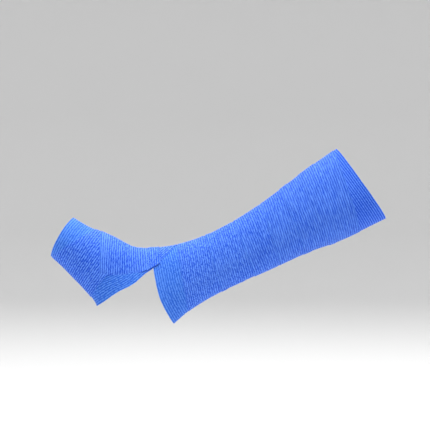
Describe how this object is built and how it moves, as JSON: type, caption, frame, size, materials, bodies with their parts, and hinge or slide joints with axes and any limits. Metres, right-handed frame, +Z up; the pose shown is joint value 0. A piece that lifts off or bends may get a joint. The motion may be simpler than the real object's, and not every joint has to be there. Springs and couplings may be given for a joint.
{
  "type": "cohesive bandage wrap",
  "caption": "Cohesive elastic bandage wound round a foot, an ankle and a lower leg in overlapping turns: a hollow shell, open at the toes, the heel and the shin.",
  "frame": {"origin": "on the shin's side of the shank, against the inner face of the wrap's wall, over the centre of mass to within 5 mm", "axes": "+X towards the upper opening, +Z up as the leg lies in the picture, -Y on the near side, where the strip's cut end is"},
  "size_m": [0.3852, 0.0996, 0.2018],
  "materials": {
    "cloth": "matt, ribbed and crinkled elastic cloth"
  },
  "bodies": {
    "root": {"wrap": "cloth"}
  },
  "joints": []
}
